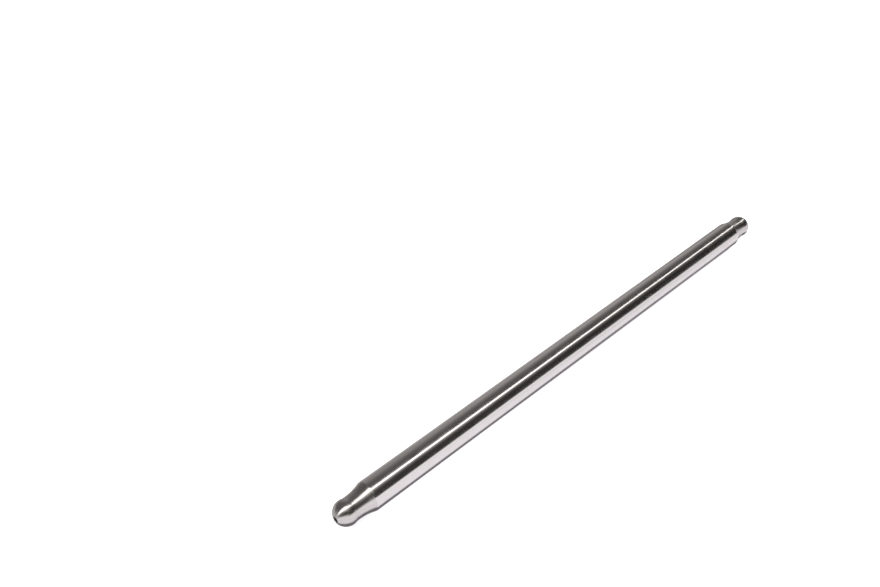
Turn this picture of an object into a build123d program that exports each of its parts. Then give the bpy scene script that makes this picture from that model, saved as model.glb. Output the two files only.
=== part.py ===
from build123d import *
import os
from math import sqrt

# Engine pushrod in millimetres: one hollow steel rod with a ball formed on each end.
# It lies along +X with +Z up. The origin is the centre of the ball at the lifter end.

# Sizes over the whole rod. The length is taken over both balls as full spheres.
overall_length = 210.312
ball_d = 7.9375
tube_d = 9.525
wall = 2.032

# Neck behind each ball: how far its surface lies below the ball's, the radius that joins the two,
# and the short straight stretch that follows.
neck_depth = 0.2
ball_blend_r = 3.0
neck_land = 0.5

# Swaged taper: the radius of its hollow sweep from the neck out to the tube, and the slight rounding
# of the shoulder where the two meet.
sweep_r = 17.4
shoulder_r = 1.0

# Oil passage: the hole through each ball and neck, the edge broken at its mouth,
# how far before the shoulder the tube's bore starts to close, and the rounding inside.
oil_hole_d = 2.0
mouth_chamfer = 0.12
bore_lead = 1.0
throat_length = 5.3
throat_r = 2.0

# Radii of the section, and places along the axis counted from the centre of a ball.
ball_r = ball_d / 2
neck_r = ball_r - neck_depth
tube_r = tube_d / 2
bore_r = tube_r - wall
hole_r = oil_hole_d / 2
mouth_r = hole_r + mouth_chamfer
ball_spacing = overall_length - ball_d

land_start = sqrt((ball_r + ball_blend_r) ** 2 - (neck_r + ball_blend_r) ** 2)
sweep_start = land_start + neck_land
shoulder = sweep_start + sqrt(sweep_r ** 2 - (sweep_r - tube_r + neck_r) ** 2)
bore_end = shoulder + bore_lead
throat_end = bore_end - throat_length
mouth = -sqrt(ball_r ** 2 - mouth_r ** 2)


def swaged_end():
    """Outline of the lifter end, from the oil hole's edge over ball, neck and taper to the shoulder."""
    join = Vector(land_start, neck_r + ball_blend_r) * (ball_r / (ball_r + ball_blend_r))
    chamfer = Line((mouth + mouth_chamfer, hole_r), (mouth, mouth_r))
    ball = ThreePointArc((mouth, mouth_r), (0, ball_r), join)
    blend = TangentArc(join, (land_start, neck_r), tangent=ball % 1)
    land = Line((land_start, neck_r), (sweep_start, neck_r))
    sweep = TangentArc((sweep_start, neck_r), (shoulder, tube_r), tangent=(1, 0))
    return Curve() + [chamfer, ball, blend, land, sweep]


def passage_outline():
    """Inside from mouth to mouth: oil hole, throat, the tube's bore, throat and oil hole."""
    lifter_half = [(mouth + mouth_chamfer, hole_r), (throat_end, hole_r), (bore_end, bore_r)]
    rocker_half = [(ball_spacing - x, r) for x, r in reversed(lifter_half)]
    return FilletPolyline(*lifter_half, *rocker_half, radius=throat_r)


def make_pushrod():
    """The rod's half section with its shoulders rounded, turned once about its axis."""
    lifter_end = swaged_end()
    rocker_end = mirror(lifter_end, about=Plane.YZ.offset(ball_spacing / 2))
    tube = Line((shoulder, tube_r), (ball_spacing - shoulder, tube_r))
    section = make_face(Curve() + [lifter_end, tube, rocker_end, passage_outline()])
    shoulders = section.vertices().group_by(Axis.Y)[-1]
    return revolve(fillet(shoulders, shoulder_r), axis=Axis.X)


os.makedirs("parts", exist_ok=True)
pushrod = make_pushrod()
pushrod.label = "pushrod"
export_step(pushrod, "parts/pushrod.step")
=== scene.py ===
from math import cos, pi, radians, sin

import bpy
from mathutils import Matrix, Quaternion, Vector


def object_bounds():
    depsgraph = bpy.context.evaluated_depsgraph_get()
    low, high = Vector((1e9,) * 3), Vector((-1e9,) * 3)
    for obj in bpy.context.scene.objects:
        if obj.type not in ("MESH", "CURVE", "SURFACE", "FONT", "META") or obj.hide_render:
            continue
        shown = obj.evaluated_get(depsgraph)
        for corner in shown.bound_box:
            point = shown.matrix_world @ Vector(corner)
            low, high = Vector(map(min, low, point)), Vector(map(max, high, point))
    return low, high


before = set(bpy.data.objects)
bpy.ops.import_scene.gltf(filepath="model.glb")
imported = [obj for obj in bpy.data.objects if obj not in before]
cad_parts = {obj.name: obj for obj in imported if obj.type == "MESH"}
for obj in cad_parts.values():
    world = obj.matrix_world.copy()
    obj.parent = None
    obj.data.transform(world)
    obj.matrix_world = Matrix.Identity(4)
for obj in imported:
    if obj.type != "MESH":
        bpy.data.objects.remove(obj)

MM = 0.001

# The rod's place in the frame: its axis lies along X at height 0, with its near end at low X.
CAD_LOW, CAD_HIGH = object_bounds()
ROD_MIDDLE = (CAD_LOW + CAD_HIGH) / 2
ROD_AXIS = (1.0, 0.0, 0.0)
TUBE_R = CAD_HIGH.z

# The camera: its place from the middle of the rod, its angles in degrees, its lens in millimetres, and how
# far it sees in metres.
CAMERA_PLACE = Vector((-197.14, -141.92, 201.25)) * MM
CAMERA_HEADING = 46.62
CAMERA_DOWN = 36.79
CAMERA_ROLL = -1.60
CAMERA_LENS = 37.744
CAMERA_SENSOR = 36.0
CAMERA_SEES_FROM = 0.01
CAMERA_SEES_TO = 50.0

# Steel: how far the duller finish of the swaged ends reaches from the tips, over what length it changes,
# and how strongly the gloss is drawn out, a quarter turn from the direction round the axis.
SWAGED_LENGTH = 11.5 * MM
FINISH_EDGE = 0.2 * MM
TUBE_TONES = (0.565, 0.547, 0.543, 1), (0.625, 0.606, 0.60, 1)
SWAGED_TONES = (0.475, 0.456, 0.448, 1), (0.565, 0.546, 0.538, 1)
TUBE_ROUGHNESS = 0.17, 0.22
SWAGED_EXTRA_ROUGHNESS = 0.09
ANISOTROPY = 0.9
ANISOTROPY_TURN = 0.25

# The grain: how many in a metre along and across the rod, and how deep.
GRAINS = (9000.0, 900.0, 900.0)
GRAIN_DETAIL = 3.0
GRAIN_DEPTH = 0.004 * MM
GRAIN_STRENGTH = 0.12

# The clouds in tone and gloss: how many in a metre, and between which of their levels the gloss changes.
CLOUDS = 220.0
CLOUD_DETAIL = 4.0
CLOUD_LEVELS = 0.3, 0.7

# The floor: its size, the air under the rod, and its tones as the steel mirrors them, with painted light
# and
# shade: a painted shade behind the rod, and the front painted dimmer towards the far end.
FLOOR_SIZE = 6.0
FLOOR_GAP = 0.02 * MM
FRONT_CARD = (0.79, 0.767, 0.80, 1)
# The front card is painted dimmer towards the far end, away from the rod.
FRONT_CARD_PAINTED_DIMMER = (0.68, 0.662, 0.69, 1)
# Painted shade behind the rod: its tone, darker past the far end, and paler in patches.
BACK_PAINTED_SHADE = (0.29, 0.28, 0.28, 1)
BACK_PAINTED_SHADE_FAR_END = (0.2, 0.193, 0.193, 1)
BACK_PAINTED_SHADE_PALER = (0.54, 0.525, 0.525, 1)
WHITE = (1.0, 1.0, 1.0, 1)

# The rod's shade, painted on the floor: its straight length, its reach to each side, its shift to the
# front, its tone, and where its edge is soft, as shares of the reach.
SHADE_LENGTH = 204 * MM
SHADE_REACH = 5.95 * MM
SHADE_END_REACH = 1.08 * SHADE_REACH
SHADE_SHIFT = 1.2 * MM
SHADE_TONE = (0.19, 0.183, 0.19, 1)
SHADE_EDGE = 0.82, 1.13

# The studio round the floor, a wall before the rod and one behind it: where they meet overhead, their tint
# where dark and where pale, and how bright the camera sees them.
WALLS_MEET = -0.3, 0.3
DARK_WALL_TINT = (1.0, 0.94, 0.91, 1)
PALE_WALL_TINT = (1.0, 0.985, 0.985, 1)
DARK_TO_PALE = 0.1, 1.0
SEEN_WALL_STRENGTH = 1.1

# The key light: a level panel over the rod, a little before it, with a glowing strip on it. Along the
# panel, from its middle, only the near ball mirrors what lies below -0.4 m, the near taper mirrors up to
# 0.4 m, the tube up to 1.5 m, and the far end the rest.
KEY_LENGTH = 8.0
KEY_WIDTH = 3.0
KEY_PLACE = ROD_MIDDLE + Vector((0, -0.22, 1.2))
PANEL_TINT = (1.0, 0.95, 0.9, 1)
STRIP_TINT = (1.0, 0.995, 0.965, 1)
STRIP_GLOW = 3.0
STRIP_FAR_GLOW = 0.82 * STRIP_GLOW

# The strip's faint skirt, in shares of the strip's reach, and the haze's shift to the front, in metres.
SKIRT_SHIFT = 0.8
SKIRT_REACH = 1.8
HAZE_SHIFT = 0.3

# The sun that lights the floor alone.
FLOOR_LIGHT_STRENGTH = 4.6


class Nodes:
    """A small helper round a node tree: adds nodes, joins their sockets and does sums with them."""

    def __init__(self, tree):
        self.tree = tree
        tree.nodes.clear()

    def add(self, kind, inputs, **settings):
        node = self.tree.nodes.new(kind)
        for name, value in settings.items():
            setattr(node, name, value)
        for name, value in inputs.items():
            socket = node.inputs[name]
            if isinstance(value, bpy.types.NodeSocket):
                self.tree.links.new(value, socket)
            else:
                socket.default_value = value
        return node

    def read(self, kind, output):
        return self.add(kind, {}).outputs[output]

    def split(self, vector):
        return self.add("ShaderNodeSeparateXYZ", {0: vector}).outputs

    def noise(self, place, scale, detail):
        inputs = {"Vector": place, "Scale": scale, "Detail": detail}
        return self.add("ShaderNodeTexNoise", inputs).outputs[0]

    def math(self, operation, *values):
        return self.add("ShaderNodeMath", dict(enumerate(values)), operation=operation).outputs[0]

    def vector_math(self, operation, *values):
        return self.add("ShaderNodeVectorMath", dict(enumerate(values)), operation=operation).outputs[0]

    def plus(self, first, second):
        return self.math("ADD", first, second)

    def minus(self, first, second):
        return self.math("SUBTRACT", first, second)

    def over(self, first, second):
        return self.math("DIVIDE", first, second)

    def size(self, value):
        return self.math("ABSOLUTE", value)

    def times(self, first, *others):
        for other in others:
            first = self.math("MULTIPLY", first, other)
        return first

    def past(self, value, start):
        """How far a value lies past a start, or 0 before it."""
        return self.math("MAXIMUM", self.minus(value, start), 0.0)

    def ramp(self, value, start, end, before, after):
        """Goes smoothly from what holds before the start to what holds after the end."""
        ends = {"Value": value, "From Min": start, "From Max": end, "To Min": before, "To Max": after}
        return self.add("ShaderNodeMapRange", ends, interpolation_type="SMOOTHSTEP").outputs[0]

    def rise(self, value, start, end):
        return self.ramp(value, start, end, before=0.0, after=1.0)

    def fall(self, value, start, end, top=1.0):
        return self.ramp(value, start, end, before=top, after=0.0)

    def mix(self, share, first, second, way="MIX"):
        """Takes a share of the second colour and the rest of the first."""
        colours = {0: share, 6: first, 7: second}
        return self.add("ShaderNodeMix", colours, data_type="RGBA", blend_type=way).outputs[2]


def steel_material():
    """Ground bare steel: grain round the axis, with a duller finish on the swaged taper, neck and ball."""
    material = bpy.data.materials.new("ground_steel")
    material.use_nodes = True
    n = Nodes(material.node_tree)
    place = n.read("ShaderNodeTexCoord", "Object")
    along = n.size(n.minus(n.split(place)[0], ROD_MIDDLE.x))
    swaged_from = CAD_HIGH.x - ROD_MIDDLE.x - SWAGED_LENGTH
    swaged = n.rise(along, swaged_from - FINISH_EDGE / 2, swaged_from + FINISH_EDGE / 2)

    grain = n.noise(n.vector_math("MULTIPLY", place, GRAINS), 1.0, GRAIN_DETAIL)
    cloud = n.noise(place, CLOUDS, CLOUD_DETAIL)
    colour = n.mix(swaged, n.mix(cloud, *TUBE_TONES), n.mix(cloud, *SWAGED_TONES))
    tube_roughness = n.ramp(cloud, *CLOUD_LEVELS, *TUBE_ROUGHNESS)
    roughness = n.plus(tube_roughness, n.times(swaged, SWAGED_EXTRA_ROUGHNESS))
    bump = n.add("ShaderNodeBump", {"Height": grain, "Strength": GRAIN_STRENGTH, "Distance": GRAIN_DEPTH})

    normal = n.read("ShaderNodeNewGeometry", "Normal")
    round_axis = n.vector_math("NORMALIZE", n.vector_math("CROSS_PRODUCT", ROD_AXIS, normal))
    surface = n.add("ShaderNodeBsdfPrincipled", {
        "Base Color": colour, "Metallic": 1.0, "Roughness": roughness, "Normal": bump.outputs[0],
        "Anisotropic": ANISOTROPY, "Anisotropic Rotation": ANISOTROPY_TURN, "Tangent": round_axis})
    n.add("ShaderNodeOutputMaterial", {"Surface": surface.outputs[0]})
    return material


def card_tone_with_painted_shade(n, x, y):
    """The floor's tone: pale before the rod, painted dimmer at its far end, with a painted shade behind
    it.
    """
    far_half = n.rise(x, -70 * MM, 60 * MM)
    before_rod = n.fall(y, -30 * MM, -7 * MM)
    # Painted dimmer light: the front card darkens towards the far end, away from the rod.
    front = n.mix(n.times(far_half, before_rod), FRONT_CARD, FRONT_CARD_PAINTED_DIMMER)

    # Behind the rod a painted shade, paler in patches behind the near end and the middle, darker past the
    # far end.
    past_near_end = n.fall(x, -118 * MM, -104 * MM, top=1.15)
    behind_near_end = n.times(past_near_end, n.rise(y, 11 * MM, 21 * MM))
    along_middle = n.fall(n.size(x), 60 * MM, 100 * MM, top=0.6)
    behind_middle = n.times(along_middle, n.fall(y, 30 * MM, 90 * MM))
    past_far_end = n.rise(x, 100 * MM, 160 * MM)
    back = n.mix(past_far_end, BACK_PAINTED_SHADE, BACK_PAINTED_SHADE_FAR_END)
    back = n.mix(n.plus(behind_near_end, behind_middle), back, BACK_PAINTED_SHADE_PALER)

    behind_rod = n.rise(y, 0.0, 3 * TUBE_R)
    return n.mix(behind_rod, front, back)


def rod_shade(n, x, y):
    """The rod's shade, which darkens the card: a long strip, slightly wider near its round ends."""
    along = n.size(x)
    beyond = n.over(n.past(along, SHADE_LENGTH / 2), SHADE_REACH)
    reach = n.ramp(along, 80 * MM, 95 * MM, before=SHADE_REACH, after=SHADE_END_REACH)
    aside = n.over(n.plus(y, SHADE_SHIFT), reach)
    away = n.math("SQRT", n.plus(n.times(beyond, beyond), n.times(aside, aside)))
    return n.mix(n.rise(away, *SHADE_EDGE), SHADE_TONE, WHITE)


def contact_shade(n, x, y):
    """How dark the camera sees the floor right under the rod: a thin line, darker to the far end."""
    from_near_end = n.rise(x, -104 * MM, -100 * MM)
    depth = n.ramp(x, -70 * MM, 20 * MM, before=0.3, after=0.95)
    to_far_end = n.fall(x, 90 * MM, 94 * MM, top=depth)
    under_rod = n.fall(n.size(y), 1.9 * MM, 3.6 * MM)
    return n.times(from_near_end, to_far_end, under_rod)


def floor_material():
    """Pale card, white to the camera. The steel mirrors its tones, with the rod's shade painted on."""
    material = bpy.data.materials.new("pale_floor")
    material.use_nodes = True
    n = Nodes(material.node_tree)
    x, y, _ = n.split(n.read("ShaderNodeTexCoord", "Object"))
    tone = n.mix(1.0, card_tone_with_painted_shade(n, x, y), rod_shade(n, x, y), way="MULTIPLY")
    card = n.add("ShaderNodeBsdfDiffuse", {"Color": tone})
    direct = n.read("ShaderNodeLightPath", "Is Camera Ray")
    unshaded = n.minus(1.0, contact_shade(n, x, y))
    white = n.add("ShaderNodeEmission", {"Strength": n.times(direct, unshaded)})
    both = n.add("ShaderNodeAddShader", {0: card.outputs[0], 1: white.outputs[0]})
    n.add("ShaderNodeOutputMaterial", {"Surface": both.outputs[0]})
    return material


def make_floor():
    place = (ROD_MIDDLE.x, 0, CAD_LOW.z - FLOOR_GAP)
    bpy.ops.mesh.primitive_plane_add(size=FLOOR_SIZE, location=place)
    floor = bpy.context.object
    floor.name = "floor"
    floor.data.materials.append(floor_material())
    return floor


def wall_behind(n, x, up):
    """Brightness behind the rod, for a ray by its run along the rod and its rise, which is 1 overhead."""
    far_foot = n.ramp(x, 0.4, 0.6, before=1.0, after=0.75)
    foot = n.ramp(up, 0.05, 0.35, before=far_foot, after=1.0)
    low_down = n.ramp(x, 0.1, 0.66, before=0.17, after=0.56)
    overhead = n.ramp(x, 0.4, 0.75, before=0.115, after=0.085)
    wall = n.ramp(up, 0.28, 1.04, before=low_down, after=overhead)
    past_near_end = n.ramp(x, -0.95, -0.6, before=2.3, after=1.0)
    return n.times(foot, wall, past_near_end)


def wall_before(n, x, up):
    """Brightness before the rod: pale up to an edge, which is lower to the far end, and dark above."""
    near_step = n.ramp(x, -0.6, -0.1, before=0.25, after=0.0)
    far_step = n.ramp(x, 0.35, 0.6, before=0.25, after=0.165)
    above_edge = n.minus(up, n.plus(near_step, far_step))
    dark = n.ramp(x, 0.4, 0.75, before=0.052, after=0.032)
    return n.ramp(above_edge, -0.08, 0.08, before=1.33, after=dark)


def make_world():
    """White to the camera. The steel mirrors a grey wall behind and a dark one with a pale foot before."""
    world = bpy.data.worlds.new("studio")
    world.use_nodes = True
    bpy.context.scene.world = world
    n = Nodes(world.node_tree)
    x, y, z = n.split(n.read("ShaderNodeTexCoord", "Generated"))
    across = n.math("SQRT", n.minus(1.0, n.times(x, x)))
    up = n.over(z, across)
    behind = n.rise(n.over(y, across), *WALLS_MEET)
    bright_behind = n.times(behind, wall_behind(n, x, up))
    bright_before = n.times(n.minus(1.0, behind), wall_before(n, x, up))
    bright = n.plus(bright_behind, bright_before)
    tint = n.mix(n.rise(bright, *DARK_TO_PALE), DARK_WALL_TINT, PALE_WALL_TINT)
    direct = n.read("ShaderNodeLightPath", "Is Camera Ray")
    studio = n.add("ShaderNodeBackground", {
        "Color": n.mix(direct, tint, WHITE),
        "Strength": n.ramp(direct, 0.0, 1.0, before=bright, after=SEEN_WALL_STRENGTH)})
    n.add("ShaderNodeOutputWorld", {"Surface": studio.outputs[0]})


def strip_middle(n, x):
    """How far behind the panel's middle the strip runs: it bends to the back towards both ends."""
    near_slope = n.times(n.past(n.times(x, -1.0), 0.2), 0.3)
    near_shift = n.ramp(x, -0.2, 0.5, before=0.07, after=0.0)
    far_slope = n.times(n.past(x, 1.0), 0.25)
    return n.plus(n.plus(near_slope, near_shift), far_slope)


def strip_reach(n, x):
    """Half the strip's width: it is widest where the near taper mirrors it, and thins to both ends."""
    near_end = n.ramp(x, -0.1, 0.35, before=0.36, after=0.2)
    near_ball = n.ramp(x, -0.9, -0.4, before=0.8, after=1.0)
    far_end = n.ramp(x, 0.5, 1.4, before=1.0, after=0.58)
    return n.times(near_end, near_ball, far_end)


def strip_peak(n, x):
    """Brightness of the strip's middle: more where the swaged ends mirror it than where the tube does."""
    near_end = n.ramp(x, -0.1, 0.5, before=1.6, after=1.0)
    over_tube = n.ramp(x, 0.8, 1.6, before=STRIP_GLOW, after=STRIP_FAR_GLOW)
    far_end = n.ramp(x, 1.65, 2.0, before=1.0, after=2.3)
    return n.times(near_end, over_tube, far_end)


def strip_on_panel(n, x, y):
    """The key light's strip: the share of its core, and its glow, which has a faint skirt at its front."""
    aside = n.over(n.minus(y, strip_middle(n, x)), strip_reach(n, x))
    core = n.fall(n.size(aside), 0.0, 1.0)
    skirt_peak = n.ramp(x, 0.9, 1.4, before=0.12, after=0.05)
    skirt = n.fall(n.size(n.plus(aside, SKIRT_SHIFT)), 0.0, SKIRT_REACH, top=skirt_peak)
    return core, n.times(n.plus(core, skirt), strip_peak(n, x))


def haze_on_panel(n, x, y):
    """A soft haze at the strip's front, strongest and widest where the near taper mirrors it."""
    from_peak = n.size(n.plus(x, 0.05))
    reach = n.ramp(from_peak, 0.1, 0.5, before=1.6, after=0.5)
    peak = n.ramp(from_peak, 0.0, 0.45, before=0.31, after=0.09)
    haze = n.fall(n.size(n.plus(y, HAZE_SHIFT)), 0.0, reach, top=peak)
    far_end = n.ramp(x, 0.9, 1.5, before=1.0, after=0.4)
    return n.times(haze, far_end)


def light_one(data, receiver, place):
    """Hangs a light that falls on one object alone. It shines straight down."""
    light = bpy.data.objects.new(data.name, data)
    light.location = place
    bpy.context.scene.collection.objects.link(light)
    lit = bpy.data.collections.new("lit_by_" + data.name)
    lit.objects.link(receiver)
    light.light_linking.receiver_collection = lit


def key_light(rod):
    """A long soft light over the rod: a glowing strip on a wide dark panel, bent aside at both ends.

    Its power makes the strength that the nodes give the panel's own brightness.
    """
    data = bpy.data.lights.new("key", "AREA")
    data.shape = "RECTANGLE"
    data.size = KEY_LENGTH
    data.size_y = KEY_WIDTH
    data.energy = pi * KEY_LENGTH * KEY_WIDTH
    data.use_nodes = True
    n = Nodes(data.node_tree)
    share = n.split(n.read("ShaderNodeNewGeometry", "Parametric"))
    x = n.times(n.minus(share[0], 0.5), KEY_LENGTH)
    y = n.times(n.minus(share[1], 0.5), KEY_WIDTH)
    core, strip = strip_on_panel(n, x, y)
    glow = n.plus(strip, haze_on_panel(n, x, y))
    shine = n.add("ShaderNodeEmission", {"Color": n.mix(core, PANEL_TINT, STRIP_TINT), "Strength": glow})
    n.add("ShaderNodeOutputLight", {"Surface": shine.outputs[0]})
    light_one(data, rod, KEY_PLACE)


def floor_light(floor):
    """Lights the floor alone and evenly, without shadows, because the rod's shade is painted on it."""
    data = bpy.data.lights.new("floor_light", "SUN")
    data.energy = FLOOR_LIGHT_STRENGTH
    data.use_shadow = False
    light_one(data, floor, KEY_PLACE)


def make_camera():
    data = bpy.data.cameras.new("camera")
    data.sensor_width = CAMERA_SENSOR
    data.lens = CAMERA_LENS
    data.clip_start = CAMERA_SEES_FROM
    data.clip_end = CAMERA_SEES_TO
    camera = bpy.data.objects.new("camera", data)
    bpy.context.scene.collection.objects.link(camera)
    camera.location = ROD_MIDDLE + CAMERA_PLACE
    down = radians(CAMERA_DOWN)
    heading = radians(CAMERA_HEADING)
    look = Vector((cos(down) * cos(heading), cos(down) * sin(heading), -sin(down)))
    roll = Quaternion((0, 0, 1), radians(CAMERA_ROLL))
    camera.rotation_mode = "QUATERNION"
    camera.rotation_quaternion = look.to_track_quat("-Z", "Y") @ roll
    bpy.context.scene.camera = camera


make_camera()
floor_light(make_floor())
make_world()
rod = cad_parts["pushrod"]
key_light(rod)
steel = steel_material()
for slot in rod.material_slots:
    slot.material = steel

bpy.context.scene.view_settings.view_transform = "Standard"
